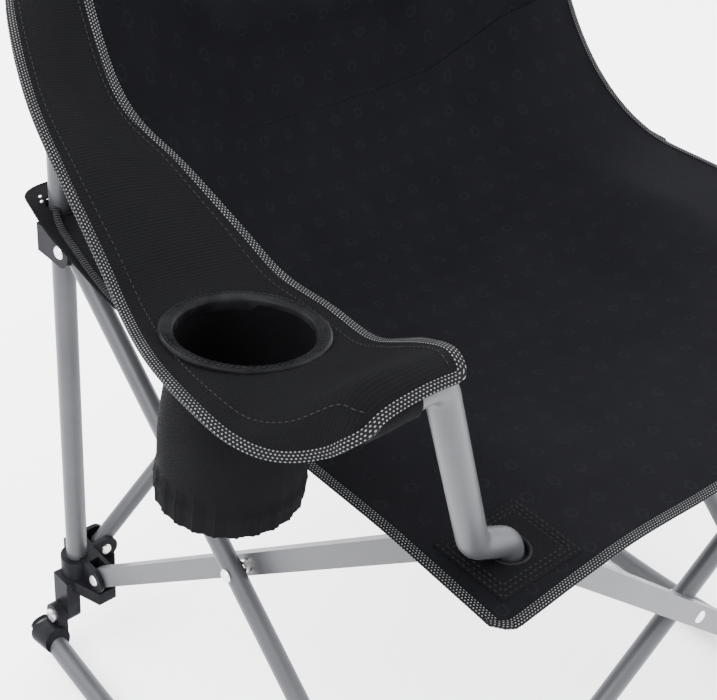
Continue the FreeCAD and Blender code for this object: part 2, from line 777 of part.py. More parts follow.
def build_nodes():
    """All pieces by node name."""
    nodes = {}
    for side in (RIGHT, LEFT):
        tag = SIDE_NAMES[side]
        nodes["rear_post_" + tag] = rear_post(side)
        nodes["post_cap_" + tag] = post_cap(side)
        nodes["arm_tube_" + tag] = arm_tube(side)
        nodes["arm_sling_rear_" + tag] = arm_sling_rear(side)
        nodes["arm_sling_front_" + tag] = arm_sling_front(side)
        nodes["rocker_rail_" + tag] = rocker_rail(side)
        nodes["rail_caps_" + tag] = rail_caps(side)
        nodes["rail_pivot_bolt_" + tag] = rail_pivot_bolt(side)
        nodes["rail_latch_pin_" + tag] = rail_latch_pin(side)
        for end in (REAR, FRONT):
            place = END_NAMES[end] + "_" + tag
            nodes["foot_hub_" + place] = foot_hub(side, end)
            nodes["upper_hub_" + place] = upper_hub(side, end)
            nodes["foot_rivets_" + place] = hub_rivets(side, end, "foot")
            nodes["upper_rivets_" + place] = hub_rivets(side, end, "upper")
            nodes["rail_clamp_" + place] = rail_clamp(side, end)
            nodes["seat_grommet_" + place] = seat_grommet(side, end)
    for name in BARS:
        nodes[name] = make_bar(name)
    crossings = {
        "side_right": ("side_round_tube_right", "side_flat_bar_right"),
        "side_left": ("side_flat_bar_left", "side_round_tube_left"),
        "front": ("front_flat_bar", "front_round_tube"),
        "back": ("back_round_tube", "back_flat_bar"),
    }
    for place, (outside_name, inside_name) in crossings.items():
        nodes["cross_rivet_" + place] = cross_rivet(outside_name, inside_name)
    for end in (REAR, FRONT):
        nodes["seat_sheet_" + END_NAMES[end]] = seat_half(end)
    nodes["back_panel"] = back_panel()
    nodes["cup_pocket"] = cup_pocket()
    nodes["cup_rim"] = cup_rim()
    return nodes


def main():
    os.makedirs("parts", exist_ok=True)
    for name, shape in build_nodes().items():
        shape.exportStep("parts/" + name + ".step")


main()
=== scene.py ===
import math

import bmesh
import bpy
from mathutils import Matrix, Vector, noise


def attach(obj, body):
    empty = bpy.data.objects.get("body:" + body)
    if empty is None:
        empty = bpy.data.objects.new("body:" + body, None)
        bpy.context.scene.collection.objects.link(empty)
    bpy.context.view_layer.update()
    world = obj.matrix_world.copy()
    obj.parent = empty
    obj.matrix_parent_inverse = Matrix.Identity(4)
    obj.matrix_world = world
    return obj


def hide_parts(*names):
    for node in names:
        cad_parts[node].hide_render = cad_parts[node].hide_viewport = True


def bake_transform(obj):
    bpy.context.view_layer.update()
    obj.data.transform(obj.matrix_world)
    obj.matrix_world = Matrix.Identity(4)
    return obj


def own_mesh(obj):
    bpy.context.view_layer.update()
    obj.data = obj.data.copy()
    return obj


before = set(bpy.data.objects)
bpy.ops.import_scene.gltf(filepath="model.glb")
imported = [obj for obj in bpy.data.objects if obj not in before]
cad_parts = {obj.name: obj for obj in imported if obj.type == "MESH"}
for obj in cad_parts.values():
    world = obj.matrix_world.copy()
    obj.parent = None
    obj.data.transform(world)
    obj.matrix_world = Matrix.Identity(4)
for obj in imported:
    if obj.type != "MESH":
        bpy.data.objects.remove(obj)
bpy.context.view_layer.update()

# Driving sizes in metres. Those of the frame, such as half_span and foot_pivot_z, are the CAD model's.
RIGHT, LEFT = -1, 1
REAR, FRONT = 1, -1
SIDE_NAMES = {RIGHT: "right", LEFT: "left"}
END_NAMES = {REAR: "rear", FRONT: "front"}
half_span = 0.240
foot_pivot_z = 0.110
seat_corner_z = 0.4877
seat_sag = 0.034
seat_side_sag = 0.007
seat_end_sag = 0.012
seat_level_border = 0.045
seat_front_y = -0.286
seat_tab_y = 0.262
seat_tab_x = 0.262
seat_front_x = 0.292
bucket_middle = (0.080, 0.222, 0.130)
bucket_side = (0.035, 0.214, 0.219)
bucket_split = math.radians(55)
back_sleeve_z = foot_pivot_z + 0.600
back_top_z = foot_pivot_z + 0.832
back_edge_y = 0.2290
back_bow = 0.024
post_radius = 0.0095
sleeve_radius = 0.0120
arm_top_z = foot_pivot_z + 0.540
cup_centre = Vector((-0.349, -0.122, foot_pivot_z + 0.511))
cup_slope = -0.10
cup_radius = 0.044
cup_depth = 0.110
cup_lean = Vector((-0.004, 0.004, 0.0))
sheet_thickness = 0.0016
double_cloth = 0.0022
tape_width = 0.0054

# Mesh resolution.
sheet_columns = 113
stitch_steps = 4
stitch_sides = 6
outline_rounds = 6


# ---------------- materials


class Paint:
    """A material's Principled shader and the nodes that feed it."""

    def __init__(self, name, color, roughness, metallic=0.0, specular=0.5):
        self.material = bpy.data.materials.new(name)
        self.material.use_nodes = True
        self.nodes = self.material.node_tree.nodes
        self.links = self.material.node_tree.links
        self.inputs = self.nodes["Principled BSDF"].inputs
        self.inputs["Base Color"].default_value = (*color, 1.0)
        self.inputs["Roughness"].default_value = roughness
        self.inputs["Metallic"].default_value = metallic
        self.inputs["Specular IOR Level"].default_value = specular

    def feed(self, name, socket):
        """Links a socket to one of the shader's inputs."""
        self.links.new(socket, self.inputs[name])

    def coordinates(self, kind):
        """The piece's UV or Object coordinates."""
        return self.nodes.new("ShaderNodeTexCoord").outputs[kind]

    def uv(self):
        """The vector and the two coordinates of the piece's own UV map, which is in metres."""
        vector = self.coordinates("UV")
        split = self.nodes.new("ShaderNodeSeparateXYZ")
        self.links.new(vector, split.inputs[0])
        return vector, split.outputs[0], split.outputs[1]

    def math(self, operation, first, second=None):
        """A Math node fed by sockets or numbers."""
        node = self.nodes.new("ShaderNodeMath")
        node.operation = operation
        for index, value in enumerate((first, second)):
            if value is None:
                continue
            if isinstance(value, (int, float)):
                node.inputs[index].default_value = value
            else:
                self.links.new(value, node.inputs[index])
        return node.outputs[0]

    def plus(self, base, extra, share):
        """A value plus a share of another."""
        return self.math("ADD", base, self.math("MULTIPLY", extra, share))

    def wave(self, coordinate, pitch):
        """A sine wave with that pitch."""
        return self.math("SINE", self.math("MULTIPLY", coordinate, 2 * math.pi / pitch))

    def wrap(self, value, period):
        """A value wrapped into 0 to period. A wrap node's inputs are value, max and min."""
        output = self.math("WRAP", value, period)
        output.node.inputs[2].default_value = 0.0
        return output

    def odd_row(self, coordinate, spacing):
        """1 in every second row of that spacing and 0 in the others."""
        row = self.math("FLOOR", self.math("DIVIDE", coordinate, spacing))
        return self.math("MODULO", row, 2.0)

    def squares(self, first, second):
        """The sum of two values' squares."""
        return self.math("ADD", self.math("MULTIPLY", first, first), self.math("MULTIPLY", second, second))

    def ramp(self, factor, stops):
        """A colour ramp from (position, color) stops."""
        node = self.nodes.new("ShaderNodeValToRGB")
        elements = node.color_ramp.elements
        while len(elements) < len(stops):
            elements.new(0.5)
        for element, (position, color) in zip(elements, stops):
            element.position = position
            element.color = (*color, 1.0)
        self.links.new(factor, node.inputs["Fac"])
        return node.outputs["Color"]

    def noise(self, vector, scale, detail=3.0):
        """A Noise texture's factor."""
        node = self.nodes.new("ShaderNodeTexNoise")
        node.inputs["Scale"].default_value = scale
        node.inputs["Detail"].default_value = detail
        node.inputs["Roughness"].default_value = 0.6
        self.links.new(vector, node.inputs["Vector"])
        return node.outputs["Fac"]

    def bump(self, height, distance, strength, below=None):
        """A Bump node's normal, stacked on another one's if below is given."""
        node = self.nodes.new("ShaderNodeBump")
        node.inputs["Distance"].default_value = distance
        node.inputs["Strength"].default_value = strength
        self.links.new(height, node.inputs["Height"])
        if below is not None:
            self.links.new(below, node.inputs["Normal"])
        return node.outputs["Normal"]


def fabric_material(name, color, light, pitch=0.0011, rings=False, ribs=False):
    """Woven polyester: weave bump, thread-to-thread tone, soft wear and, if asked, embossed rings or ribs,
    whose raised tops are painted lighter as a painted highlight.
    """
    paint = Paint(name, color, 0.82, specular=0.03)
    uv, u, v = paint.uv()
    weave = paint.math("MULTIPLY", paint.wave(u, pitch), paint.wave(v, pitch))
    cloudy = paint.noise(uv, 14.0, 4.0)
    slub = paint.noise(uv, 420.0, 2.0)
    tone = paint.plus(paint.math("MULTIPLY", weave, 0.16), cloudy, 0.45)
    tone = paint.plus(tone, slub, 0.4)
    normal = paint.bump(weave, 0.00012, 0.8)
    normal = paint.bump(paint.noise(uv, 45.0), 0.0012, 0.35, normal)
    if rings:
        ring = ring_height(paint, u, v, 0.026, 0.0036, 0.0014)
        # Painted highlight: the raised rings are also painted lighter, as if they caught the light.
        tone = paint.plus(tone, ring, 0.30)
        normal = paint.bump(ring, 0.0005, 0.55, normal)
    if ribs:
        rib = paint.wave(v, 0.0021)
        # Painted highlight: the rib crests are painted lighter, as if they caught the light.
        tone = paint.plus(tone, rib, 0.10)
        normal = paint.bump(rib, 0.00018, 0.7, normal)
    paint.feed("Base Color", paint.ramp(tone, [(0.15, color), (0.85, light)]))
    paint.feed("Normal", normal)
    return paint.material


def ring_height(paint, u, v, spacing, radius, width):
    """Small raised rings in staggered rows, from two coordinates in metres."""
    shifted = paint.plus(u, paint.odd_row(v, spacing), spacing * 0.5)
    du = paint.math("SUBTRACT", paint.wrap(shifted, spacing), spacing / 2)
    dv = paint.math("SUBTRACT", paint.wrap(v, spacing), spacing / 2)
    distance = paint.math("SQRT", paint.squares(du, dv))
    off = paint.math("ABSOLUTE", paint.math("SUBTRACT", distance, radius))
    height = paint.math("SUBTRACT", 1.0, paint.math("DIVIDE", off, width))
    return paint.math("MAXIMUM", height, 0.0)


def tape_material():
    """Ribbed binding tape with three rows of pale stitches. u runs across the tape and v along it."""
    paint = Paint("binding_tape", (0.014, 0.014, 0.015), 0.7, specular=0.04)
    uv, u, v = paint.uv()
    row_pitch = 0.0017
    stitch_pitch = 0.0024
    half_stitch = (0.00046, 0.00070)
    shifted = paint.plus(v, paint.odd_row(u, row_pitch), 0.0013)
    from_middle_u = paint.math("SUBTRACT", paint.wrap(u, row_pitch), row_pitch / 2)
    from_middle_v = paint.math("SUBTRACT", paint.wrap(shifted, stitch_pitch), stitch_pitch / 2)
    du = paint.math("DIVIDE", from_middle_u, half_stitch[0])
    dv = paint.math("DIVIDE", from_middle_v, half_stitch[1])
    dot = paint.math("MAXIMUM", paint.math("SUBTRACT", 1.0, paint.squares(du, dv)), 0.0)
    wear = paint.math("ADD", paint.noise(uv, 60.0, 2.0), 0.55)
    dot_tone = paint.math("MULTIPLY", dot, wear)
    stops = [(0.10, (0.003, 0.003, 0.0035)), (0.95, (0.12, 0.12, 0.118))]
    paint.feed("Base Color", paint.ramp(dot_tone, stops))
    height = paint.plus(dot, paint.wave(v, 0.0016), 0.4)
    paint.feed("Normal", paint.bump(height, 0.00025, 0.9))
    return paint.material


def webbing_material():
    """Dark webbing with ribs across it, their crests painted lighter as a painted highlight."""
    paint = Paint("ribbed_webbing", (0.012, 0.012, 0.013), 0.7, specular=0.03)
    uv, _, v = paint.uv()
    rib = paint.wave(v, 0.0028)
    # Painted highlight: the rib crests are painted lighter, as if they caught the light.
    tone = paint.plus(paint.noise(uv, 120.0), rib, 0.5)
    stops = [(0.35, (0.0025, 0.0025, 0.003)), (0.95, (0.020, 0.020, 0.022))]
    paint.feed("Base Color", paint.ramp(tone, stops))
    paint.feed("Normal", paint.bump(rib, 0.0005, 0.9))
    return paint.material


def tube_material():
    """Satin grey powder coat with fine orange peel and light scuffs."""
    paint = Paint("tube_grey", (0.030, 0.030, 0.032), 0.42, 0.15, 0.35)
    place = paint.coordinates("Object")
    fine = paint.noise(place, 900.0, 2.0)
    broad = paint.noise(place, 18.0, 4.0)
    stops = [(0.3, (0.022, 0.022, 0.024)), (0.75, (0.034, 0.034, 0.037))]
    paint.feed("Base Color", paint.ramp(broad, stops))
    paint.feed("Roughness", paint.plus(0.30, broad, 0.22))
    paint.feed("Normal", paint.bump(fine, 0.00012, 0.35))
    return paint.material


def plastic_material(name, color, roughness, grain):
    """Moulded plastic with a fine spark-eroded grain and a little handling wear."""
    paint = Paint(name, color, roughness, specular=0.02)
    place = paint.coordinates("Object")
    broad = paint.noise(place, 40.0)
    lighter = tuple(min(1.0, c * 2.1 + 0.004) for c in color)
    paint.feed("Base Color", paint.ramp(broad, [(0.35, color), (0.8, lighter)]))
    paint.feed("Roughness", paint.plus(roughness - 0.1, broad, 0.2))
    paint.feed("Normal", paint.bump(paint.noise(place, grain), 0.0002, 0.4))
    return paint.material


def rivet_material():
    """Brushed plated steel."""
    paint = Paint("rivet_metal", (0.62, 0.61, 0.59), 0.32, 1.0)
    scratches = paint.noise(paint.coordinates("Object"), 700.0)
    paint.feed("Roughness", paint.plus(0.18, scratches, 0.3))
    paint.feed("Normal", paint.bump(scratches, 0.0001, 0.3))
    return paint.material


def stitch_material():
    """Thread for raised stitches."""
    paint = Paint("stitch_thread", (0.006, 0.006, 0.0065), 0.7, specular=0.03)
    twist = paint.noise(paint.coordinates("Object"), 2500.0, 2.0)
    stops = [(0.3, (0.005, 0.005, 0.0055)), (0.8, (0.017, 0.017, 0.018))]
    paint.feed("Base Color", paint.ramp(twist, stops))
    paint.feed("Normal", paint.bump(twist, 0.0001, 0.5))
    return paint.material


seat_fabric = fabric_material("seat_fabric", (0.0012, 0.0012, 0.0017), (0.0042, 0.0042, 0.0052), rings=True)
arm_fabric = fabric_material("arm_fabric", (0.0014, 0.0014, 0.0016), (0.0036, 0.0036, 0.0040), ribs=True)
plain_fabric = fabric_material(
    "plain_fabric", (0.0012, 0.0012, 0.0014), (0.0040, 0.0040, 0.0045), pitch=0.0013)
pocket_fabric = fabric_material(
    "pocket_fabric", (0.0010, 0.0010, 0.0012), (0.0036, 0.0036, 0.0041), pitch=0.0013)
webbing = webbing_material()
tape = tape_material()
tube_grey = tube_material()
black_plastic = plastic_material("black_plastic", (0.0035, 0.0035, 0.0042), 0.40, 1200.0)
gloss_plastic = plastic_material("gloss_plastic", (0.0025, 0.0025, 0.0028), 0.26, 600.0)
rivet_metal = rivet_material()
thread = stitch_material()


# ---------------- mesh helpers


def add_object(name, mesh, material, smooth=True):
    """A scene object for a mesh, with its material."""
    piece = bpy.data.objects.new(name, mesh)
    bpy.context.scene.collection.objects.link(piece)
    mesh.materials.append(material)
    if smooth:
        mesh.polygons.foreach_set("use_smooth", [True] * len(mesh.polygons))
    return piece


def grid_normals(grid):
    """Unit normals of a grid of points from its neighbours; rows by columns."""
    rows, columns = len(grid), len(grid[0])
    normals = []
    for i in range(rows):
        line = []
        for j in range(columns):
            across = grid[i][min(j + 1, columns - 1)] - grid[i][max(j - 1, 0)]
            along = grid[min(i + 1, rows - 1)][j] - grid[max(i - 1, 0)][j]
            normal = across.cross(along)
            line.append(normal.normalized() if normal.length > 1e-9 else Vector((0, 0, 1)))
        normals.append(line)
    return normals


def mesh_object(name, vertices, faces, material, uvs=(), sharpen=True):
    """An object from raw mesh data. uvs holds one pair in metres for each face corner."""
    mesh = bpy.data.meshes.new(name)
    mesh.from_pydata([tuple(vertex) for vertex in vertices], [], faces)
    layer = mesh.uv_layers.new(name="metres")
    for index, value in enumerate(uvs):
        layer.data[index].uv = value
    if sharpen:
        crease(mesh)
    return add_object(name, mesh, material)


def polar(radius, angle, height=0.0):
    """A vector at that angle round the vertical."""
    return Vector((radius * math.cos(angle), radius * math.sin(angle), height))


def ring_quads(first, second, count):
    """Quads between two closed rings of count vertices, from the index of each ring's first vertex."""
    return [(first + k, first + (k + 1) % count, second + (k + 1) % count, second + k) for k in range(count)]


def loop_quads(turns, count):
    """Quads of a closed loop of that many closed sections, with count vertices in each."""
    faces = []
    for k in range(turns):
        n = (k + 1) % turns
        for i in range(count):
            m = (i + 1) % count
            faces.append((k * count + i, n * count + i, n * count + m, k * count + m))
    return faces


def around(profile):
    """Length round a closed profile at each of its 2-D points, and back at the first."""
    total = [0.0]
    for (a0, b0), (a1, b1) in zip(profile, profile[1:] + profile[:1]):
        total.append(total[-1] + math.hypot(a1 - a0, b1 - b0))
    return total


def tangents(points):
    """Direction of a line of points at each point, from its neighbours."""
    pairs = zip(points[:1] + points[:-1], points[1:] + points[-1:])
    return [(after - before).normalized() for before, after in pairs]


def cumulative(points):
    """Length along a line of points at each point."""
    total = [0.0]
    for before, after in zip(points, points[1:]):
        total.append(total[-1] + (after - before).length)
    return total


def sheet_object(name, grid, thickness, material, normals=None, holes=()):
    """Closed sheet with two faces and a rim from a grid of middle-surface points.

    Its UVs are metres across and along. holes are upright round ones, as (x, y, radius).
    """
    normals = normals or grid_normals(grid)
    rows, columns = len(grid), len(grid[0])
    half = thickness / 2
    middle_row = cumulative(grid[rows // 2])
    middle_column = cumulative([grid[i][columns // 2] for i in range(rows)])
    present = {(i, j) for i in range(rows - 1) for j in range(columns - 1)}
    for x, y, radius in holes:
        grid = cut_hole(grid, present, x, y, radius)
    vertices = []
    for sign in (1, -1):
        for i in range(rows):
            for j in range(columns):
                vertices.append(grid[i][j] + normals[i][j] * (half * sign))
    size = rows * columns
    faces = []
    for i, j in sorted(present):
        a, b = i * columns + j, i * columns + j + 1
        c, d = (i + 1) * columns + j + 1, (i + 1) * columns + j
        faces.append((a, b, c, d))
        faces.append((a + size, d + size, c + size, b + size))
        sides = (((i - 1, j), a, b), ((i, j + 1), b, c), ((i + 1, j), c, d), ((i, j - 1), d, a))
        for neighbour, p, q in sides:
            if neighbour not in present:
                faces.append((q, p, p + size, q + size))
    uvs = []
    for face in faces:
        for index in face:
            i, j = divmod(index % size, columns)
            uvs.append((middle_row[j], middle_column[i]))
    return mesh_object(name, vertices, faces, material, uvs)


def cut_hole(grid, present, x, y, radius):
    """Takes the quads in a circle out of present; returns the grid with the hole's edge moved onto it."""
    centre = Vector((x, y))

    def inside(i, j):
        middle = (grid[i][j] + grid[i + 1][j + 1]) / 2
        return (middle.xy - centre).length < radius

    removed = {quad for quad in present if inside(*quad)}
    present -= removed

    def corners(quads):
        return {(i + di, j + dj) for i, j in quads for di in (0, 1) for dj in (0, 1)}

    moved = [list(line) for line in grid]
    for i, j in corners(removed) & corners(present):
        offset = (grid[i][j].xy - centre).normalized() * radius
        moved[i][j] = Vector((x + offset.x, y + offset.y, grid[i][j].z))
    return moved


def crease(mesh):
    """Turns all normals outward and keeps edges sharp where a mesh turns by more than 55 degrees."""
    bm = bmesh.new()
    bm.from_mesh(mesh)
    bmesh.ops.recalc_face_normals(bm, faces=bm.faces)
    for edge in bm.edges:
        if len(edge.link_faces) == 2 and edge.calc_face_angle(0.0) > math.radians(55):
            edge.smooth = False
    bm.to_mesh(mesh)
    bm.free()


def swept_object(name, path, frames, profile, material):
    """Sweeps a closed profile of (a, b) offsets along a path and caps both ends.

    frames gives (first axis, second axis) at each point. u is metres round the profile, v along the path.
    """
    count = len(profile)
    rows = len(path)
    vertices = []
    for point, (first, second) in zip(path, frames):
        vertices.extend(point + first * a + second * b for a, b in profile)
    ring = around(profile)
    along = cumulative(path)
    faces = []
    uvs = []
    for i in range(rows - 1):
        faces.extend(ring_quads(i * count, (i + 1) * count, count))
        for k in range(count):
            uvs.extend([(ring[k], along[i]), (ring[k + 1], along[i])])
            uvs.extend([(ring[k + 1], along[i + 1]), (ring[k], along[i + 1])])
    faces.append(tuple(reversed(range(count))))
    faces.append(tuple((rows - 1) * count + k for k in range(count)))
    uvs.extend([(0, 0)] * (2 * count))
    return mesh_object(name, vertices, faces, material, uvs)


def tape_profile(width=tape_width, half=sheet_thickness / 2, lift=0.0007, bulge=0.0009):
    """Section of a tape folded over a sheet's edge: a is inward from the edge, b is along the normal."""
    top = half + lift
    return [
        (width, half + 0.0001), (width * 0.96, top), (width * 0.5, top + 0.00025), (width * 0.08, top),
        (-bulge, half * 0.8), (-bulge * 1.4, 0.0), (-bulge, -half * 0.8), (width * 0.08, -top),
        (width * 0.5, -top - 0.00025), (width * 0.96, -top), (width, -half - 0.0001),
    ]


def edge_tape(edge, inward, normals, width=tape_width):
    """Binding tape along a sheet's edge."""
    return swept_object("tape", edge, zip(inward, normals), tape_profile(width), tape)


def joined(name, parts):
    """One object from several, all in world coordinates and with the same kinds of UV."""
    bpy.ops.object.select_all(action="DESELECT")
    for part in parts:
        part.select_set(True)
    bpy.context.view_layer.objects.active = parts[0]
    bpy.ops.object.join()
    parts[0].name = name
    parts[0].data.name = name
    return parts[0]


def stitch_row(points, normals, pitch=0.0042, length=0.0030, radius=0.00042):
    """Small thread bumps along a line on a surface, as one mesh's vertices and faces."""
    stations = cumulative(points)
    total = stations[-1]
    count = max(2, int(total / pitch))
    vertices = []
    faces = []
    segment = 0
    for k in range(count):
        middle = (k + 0.5) * total / count
        while segment < len(stations) - 2 and stations[segment + 1] < middle:
            segment += 1
        span = max(stations[segment + 1] - stations[segment], 1e-9)
        share = (middle - stations[segment]) / span
        centre = points[segment].lerp(points[segment + 1], share)
        along = (points[segment + 1] - points[segment]).normalized()
        normal = normals[segment].lerp(normals[segment + 1], share).normalized()
        across = normal.cross(along).normalized()
        base = len(vertices)
        for step in range(stitch_steps + 1):
            t = step / stitch_steps
            height = math.sin(math.pi * t)
            lift = normal * (radius * (0.9 * height - 0.2))
            middle_point = centre + along * ((t - 0.5) * length) + lift
            thin = radius * (0.35 + 0.65 * height)
            for side in range(stitch_sides):
                angle = 2 * math.pi * side / stitch_sides
                offset = across * (math.cos(angle) * thin) + normal * (math.sin(angle) * thin)
                vertices.append(middle_point + offset)
        for step in range(stitch_steps):
            ring = base + step * stitch_sides
            faces.extend(ring_quads(ring, ring + stitch_sides, stitch_sides))
        faces.append(tuple(base + side for side in reversed(range(stitch_sides))))
        faces.append(tuple(base + stitch_steps * stitch_sides + side for side in range(stitch_sides)))
    return vertices, faces


def stitches(name, rows, **sizes):
    """Rows of raised stitches as one object. rows holds (points, normals) pairs."""
    vertices = []
    faces = []
    for points, normals in rows:
        more, more_faces = stitch_row(points, normals, **sizes)
        base = len(vertices)
        vertices.extend(more)
        faces.extend(tuple(index + base for index in face) for face in more_faces)
    return mesh_object(name, vertices, faces, thread, sharpen=False)


def smooth_step(x):
    """0 below 0, 1 above 1 and smooth between."""
    x = max(0.0, min(1.0, x))
    return x * x * (3 - 2 * x)


def lerp(a, b, t):
    """The number at share t of the way from a to b."""
    return a + (b - a) * t


def catmull(points, per_span):
    """Smooth curve through points, with that many steps in each span."""
    result = []
    for index in range(len(points) - 1):
        p0 = points[max(index - 1, 0)]
        p1 = points[index]
        p2 = points[index + 1]
        p3 = points[min(index + 2, len(points) - 1)]
        for step in range(per_span):
            t = step / per_span
            straight = (2 * p1) + (p2 - p0) * t
            bent = (2 * p0 - 5 * p1 + 4 * p2 - p3) * (t * t)
            twisted = (3 * p1 - p0 - 3 * p2 + p3) * (t * t * t)
            result.append(0.5 * (straight + bent + twisted))
    result.append(points[-1].copy())
    return result


# ---------------- seat


def seat_base(x, y):
    """Middle surface of the seat without its swept-up rear: level at its corners, sagging between them."""
    level = half_span - seat_level_border
    middle_x = (1 - min(1.0, abs(x) / level) ** 3) ** 2
    middle_y = (1 - min(1.0, abs(y) / level) ** 3) ** 2
    sag = seat_sag * middle_x * middle_y
    sag += seat_side_sag * (1 - middle_x) * middle_y
    sag += seat_end_sag * middle_x * (1 - middle_y)
    return seat_corner_z - sag


def seat_side(y):
    """Half width of the seat."""
    share = (seat_tab_y - y) / (seat_tab_y - seat_front_y)
    return lerp(seat_tab_x, seat_front_x, share)


def bucket_shape(x):
    """Start, end and height of the quarter ellipse that the seat's rear sweeps up along, at that x."""
    share = smooth_step((abs(x) - 0.070) / 0.175)
    return tuple(lerp(a, b, share) for a, b in zip(bucket_middle, bucket_side))


def cloth_ripple(x, y, z):
    """Small unevenness of hung cloth."""
    fine = 0.0009 * noise.noise(Vector((x * 19, y * 19, z * 19)))
    return fine + 0.0026 * noise.noise(Vector((x * 5, y * 5, z * 5 + 7.7)))


def gathered(x, share):
    """Soft upright folds low in the back, fading out to the sides."""
    wave = math.sin(x * 58 + 0.7) + 0.6 * math.sin(x * 113 + 2.1) + 0.4 * math.sin(x * 31 + 4.0)
    return 0.0030 * wave * share * max(0.0, 1 - (x / 0.235) ** 2)


def bucket_point(u, angle):
    """A point of the swept-up rear, u from side to side, at that angle along its quarter ellipse."""
    start, stop, height = bucket_shape(u * seat_tab_x)
    y = start + (stop - start) * math.sin(angle)
    x = u * seat_side(y)
    z = seat_base(x, y) + height * (1 - math.cos(angle)) + cloth_ripple(x, y, 0.0) * (1 - u ** 6)
    return Vector((x, y - gathered(x, smooth_step((angle - 0.5) / 0.9)), z))


def seat_point(u, y):
    """A point of the seat, u from side to side, at that y."""
    x = u * seat_side(y)
    return Vector((x, y, seat_base(x, y) + cloth_ripple(x, y, 0.0) * (1 - u ** 6)))


def seat_front_edge(u):
    """y of the seat's front edge: bowed in the middle and rounded at the corners."""
    corner = 0.011 * max(0.0, (abs(u) - 0.955) / 0.045) ** 2
    return seat_front_y + 0.010 * (1 - u * u) + corner


def seat_grid(end, columns):
    """Grid of one half of the seat, from its outer edge to the fold line at y 0."""
    across = [-1 + 2 * j / (columns - 1) for j in range(columns)]
    if end == FRONT:
        return [[seat_point(u, lerp(seat_front_edge(u), 0.0, i / 59)) for u in across] for i in range(60)]
    swept = [[bucket_point(u, bucket_split * (1 - i / 24)) for u in across] for i in range(25)]
    starts = [bucket_shape(u * seat_tab_x)[0] for u in across]
    level = [[seat_point(u, start * (1 - i / 14)) for u, start in zip(across, starts)] for i in range(1, 15)]
    return swept + level


def up_normals(grid):
    """Grid normals turned to point up."""
    return [[n if n.z > 0 else -n for n in line] for line in grid_normals(grid)]


def make_seat_half(end):
    """One half of the seat's cloth and its trim, which ride on that half's body."""
    columns = sheet_columns
    grid = seat_grid(end, columns)
    normals = up_normals(grid)
    holes = []
    if end == FRONT:
        holes = [(side * half_span, -half_span, 0.0128) for side in (RIGHT, LEFT)]
    cloth = sheet_object("seat_cloth_" + END_NAMES[end], grid, sheet_thickness, seat_fabric, normals, holes)
    parts = []
    for side, j in ((RIGHT, 0), (LEFT, columns - 1)):
        edge = [line[j] for line in grid]
        inward = [Vector((-side, 0, 0))] * len(edge)
        parts.append(edge_tape(edge, inward, [line[j] for line in normals]))
    if end == FRONT:
        parts.append(edge_tape(grid[0], [Vector((0, 1, 0))] * columns, normals[0]))
        parts.extend(front_corner_sewing())
    else:
        for side in (RIGHT, LEFT):
            parts.extend(rear_tab(side))
    trim = joined("seat_trim_" + END_NAMES[end], parts)
    for piece in (cloth, trim):
        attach(piece, "seat_" + END_NAMES[end])
        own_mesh(piece)
    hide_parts("seat_sheet_" + END_NAMES[end])
    return cloth, trim


def tab_height(x, y):
    """Height of the rear tab: the seat's own height, lifted round the post."""
    return seat_base(x, y) + 0.008 * smooth_step((y - 0.205) / 0.055)


def flat_curve(points):
    """Smooth curve through (x, y) points at height 0."""
    return catmull([Vector((x, y, 0)) for x, y in points], 6)


def rear_tab(side):
    """Level tab under the seat's swept-up rear corner, its ribbed binding and two small rivets."""
    outer_line = flat_curve([
        (0.2740, 0.020), (0.2765, 0.070), (0.2770, 0.118), (0.2725, 0.169), (0.2665, 0.214),
        (0.2620, 0.244), (0.2570, 0.262), (0.2450, 0.2690), (0.2300, 0.2700),
    ])
    inner_line = flat_curve([
        (0.2500, 0.020), (0.2400, 0.060), (0.2300, 0.100), (0.2220, 0.150), (0.2160, 0.195),
        (0.2120, 0.225), (0.2110, 0.245), (0.2140, 0.258), (0.2200, 0.266),
    ])
    grid = []
    for outer, inner in zip(outer_line, inner_line):
        line = []
        for k in range(17):
            point = outer.lerp(inner, k / 16)
            z = tab_height(point.x, point.y) - 0.0022 + 0.5 * cloth_ripple(point.x * 2, point.y * 2, 3.0)
            line.append(Vector((side * point.x, point.y, z)))
        grid.append(line)
    normals = up_normals(grid)
    hole = (side * half_span, half_span, 0.0125)
    parts = [sheet_object("tab", grid, double_cloth, plain_fabric, normals, [hole])]
    parts.append(rolled_edge([line[0] for line in grid], [line[0] for line in normals]))
    curve = flat_curve([
        (0.2745, 0.050), (0.2755, 0.085), (0.2750, 0.118), (0.2710, 0.150), (0.2655, 0.178),
        (0.2590, 0.206), (0.2525, 0.226), (0.2440, 0.2385), (0.2330, 0.2470), (0.2230, 0.2500),
    ])
    for point in curve:
        point.x *= side
        point.z = tab_height(point.x, point.y) + 0.0006
    parts.append(ribbed_strip(curve))
    for x, y in ((0.2500, 0.2535), (0.2525, 0.2475)):
        parts.append(small_rivet(Vector((side * x, y, tab_height(x, y) - 0.0012))))
    return parts


def rolled_edge(edge, normals):
    """Plain rolled hem: a soft round bead along a cloth edge."""
    angles = [2 * math.pi * k / 8 for k in range(8)]
    profile = [(0.0017 * math.cos(angle), 0.0014 * math.sin(angle)) for angle in angles]
    frames = [(normal.cross(along).normalized(), normal) for normal, along in zip(normals, tangents(edge))]
    return swept_object("hem", edge, frames, profile, plain_fabric)


def ribbed_strip(path):
    """Raised ribbed webbing along a line."""
    profile = [
        (-0.0028, -0.0008), (-0.0026, 0.0008), (-0.0012, 0.0015),
        (0.0012, 0.0015), (0.0026, 0.0008), (0.0028, -0.0008),
    ]
    up = Vector((0, 0, 1))
    frames = [(along.cross(up).normalized(), up) for along in tangents(path)]
    return swept_object("webbing", path, frames, profile, webbing)


